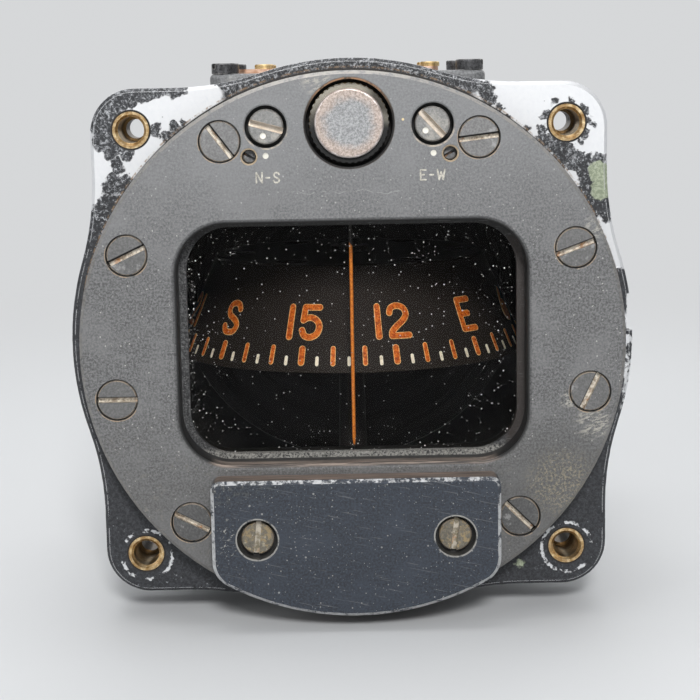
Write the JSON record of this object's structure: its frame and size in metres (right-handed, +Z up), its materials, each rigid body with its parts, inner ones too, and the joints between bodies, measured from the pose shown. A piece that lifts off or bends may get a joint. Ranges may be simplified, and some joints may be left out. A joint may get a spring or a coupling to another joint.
{
  "type": "magnetic compass",
  "caption": "Panel-mounted liquid magnetic compass with a pivoted conical card behind a flat window, slotted corrector screws and a small lamp.",
  "frame": {"origin": "centre of the four mounting holes, on the front plane of the flange that seats against the instrument panel", "axes": "+X to the pilot's right, +Y away from the pilot into the panel, +Z up"},
  "size_m": [0.0824, 0.0865, 0.0824],
  "materials": {
    "case_casting": "black enamel over cast aluminium, chipped to bare metal at the corners",
    "insert_brass": "turned brass",
    "cover_paint": "satin charcoal enamel with fine specks",
    "lower_cover_paint": "satin black enamel with worn edges",
    "fibre_gasket": "red-brown fibre",
    "seal_rubber": "grey-black rubber",
    "glass": "flat polished glass",
    "screw_black_brass": "blackened brass, worn bright at the rims",
    "screw_brass": "dull brass",
    "lubber_paint": "orange paint on wire",
    "clear_rod": "clear rod",
    "lamp_brass": "turned brass",
    "lamp_cap_metal": "worn enamel on brass, knurled skirt",
    "insulation": "moulded insulating plastic",
    "bulb_glass": "thin clear glass",
    "housing_casting": "grey cast metal",
    "plate_copper": "bare copper alloy",
    "mechanism_brass": "cut brass",
    "adjuster_paint": "dark enamel on brass, slot worn bright",
    "steel": "hardened steel",
    "magnet_steel": "dull magnet steel",
    "card_black": "matt black with orange figures",
    "jewel_stone": "polished stone",
    "diaphragm_metal": "thin corrugated metal",
    "rear_cover_paint": "black enamel"
  },
  "bodies": {
    "case": {"case_body": "case_casting", "mounting_inserts": "insert_brass", "front_cover": "cover_paint", "lower_cover": "lower_cover_paint", "cover_gasket": "fibre_gasket", "rear_gasket": "fibre_gasket", "filler_seal": "fibre_gasket", "window_frame": "seal_rubber", "rear_glass_seal": "seal_rubber", "diaphragm_seal": "seal_rubber", "window_glass": "glass", "cover_screws": "screw_black_brass", "lower_cover_screws": "screw_black_brass", "adjuster_lock_screws": "screw_black_brass", "housing_screws": "screw_black_brass", "rear_cover_screws": "screw_black_brass", "filler_plug": "screw_black_brass", "housing_plate_screws": "screw_brass", "terminal_screws": "screw_brass", "lubber_line": "lubber_paint", "light_guides": "clear_rod", "lamp_socket": "lamp_brass", "lamp_contact": "lamp_brass", "lamp_insulator": "insulation", "terminal_block": "insulation", "corrector_housing": "housing_casting", "housing_plate": "plate_copper", "corrector_frame": "mechanism_brass", "jewel_post": "mechanism_brass", "ns_idler_arbor": "steel", "ew_cross_pin": "steel", "jewel": "jewel_stone", "diaphragm": "diaphragm_metal", "rear_cover": "rear_cover_paint"},
    "ns_adjuster": {"ns_adjuster": "adjuster_paint", "ns_drive_gear": "mechanism_brass", "ns_drive_magnet": "magnet_steel"},
    "ns_idler": {"ns_idler_gear": "mechanism_brass", "ns_idler_magnet": "magnet_steel"},
    "ew_adjuster": {"ew_adjuster": "adjuster_paint", "ew_pinion": "mechanism_brass"},
    "ew_left": {"ew_left_wheel": "mechanism_brass", "ew_left_magnet": "magnet_steel"},
    "ew_right": {"ew_right_wheel": "mechanism_brass", "ew_right_magnet": "magnet_steel"},
    "lamp_bulb": {"lamp_bulb_glass": "bulb_glass", "lamp_bulb_base": "lamp_brass"},
    "lamp_cap": {"lamp_cap": "lamp_cap_metal"},
    "pivot_point": {"pivot_point": "steel"},
    "pivot_stem": {"pivot_stem": "mechanism_brass"},
    "card": {"compass_card": "card_black", "card_hub": "mechanism_brass", "card_float": "mechanism_brass", "card_float_base": "mechanism_brass", "card_magnets": "magnet_steel"}
  },
  "joints": [
    {"name": "ns_adjuster_turn", "type": "hinge", "parent": "case", "child": "ns_adjuster", "pos_m": [-0.0118, 0, 0.0317], "axis": [0, 1, 0], "continuous": true},
    {"name": "ns_idler_turn", "type": "hinge", "parent": "case", "child": "ns_idler", "pos_m": [-0.0038, 0.02, 0.0317], "axis": [0, 1, 0], "continuous": true},
    {"name": "ew_adjuster_turn", "type": "hinge", "parent": "case", "child": "ew_adjuster", "pos_m": [0.0118, 0, 0.0317], "axis": [0, 1, 0], "continuous": true},
    {"name": "ew_left_turn", "type": "hinge", "parent": "case", "child": "ew_left", "pos_m": [0.0118, 0.02, 0.0317], "axis": [1, 0, 0], "continuous": true},
    {"name": "ew_right_turn", "type": "hinge", "parent": "case", "child": "ew_right", "pos_m": [0.0118, 0.02, 0.0317], "axis": [1, 0, 0], "continuous": true},
    {"name": "lamp_withdraw", "type": "slide", "parent": "case", "child": "lamp_bulb", "axis": [0, -1, 0], "range_m": [0, 0.004]},
    {"name": "lamp_cap_turn", "type": "hinge", "parent": "lamp_bulb", "child": "lamp_cap", "pos_m": [0, 0, 0.03198], "axis": [0, -1, 0], "range_deg": [0, 1440.1]},
    {"name": "card_pitch", "type": "hinge", "parent": "case", "child": "pivot_point", "pos_m": [0, 0.0378, 0.008], "axis": [1, 0, 0], "range_deg": [-8, 8]},
    {"name": "card_bank", "type": "hinge", "parent": "pivot_point", "child": "pivot_stem", "pos_m": [0, 0.0378, 0.008], "axis": [0, 1, 0], "range_deg": [-8, 8]},
    {"name": "card_heading", "type": "hinge", "parent": "pivot_stem", "child": "card", "pos_m": [0, 0.0378, 0.008], "axis": [0, 0, 1], "continuous": true}
  ],
  "couplings": [
    {"joint": "ns_idler_turn", "follows": "ns_adjuster_turn", "ratio": -1},
    {"joint": "ew_left_turn", "follows": "ew_adjuster_turn", "ratio": -1},
    {"joint": "ew_right_turn", "follows": "ew_adjuster_turn", "ratio": 1},
    {"joint": "lamp_cap_turn", "follows": "lamp_withdraw", "rad_per_m": 6283.2}
  ]
}
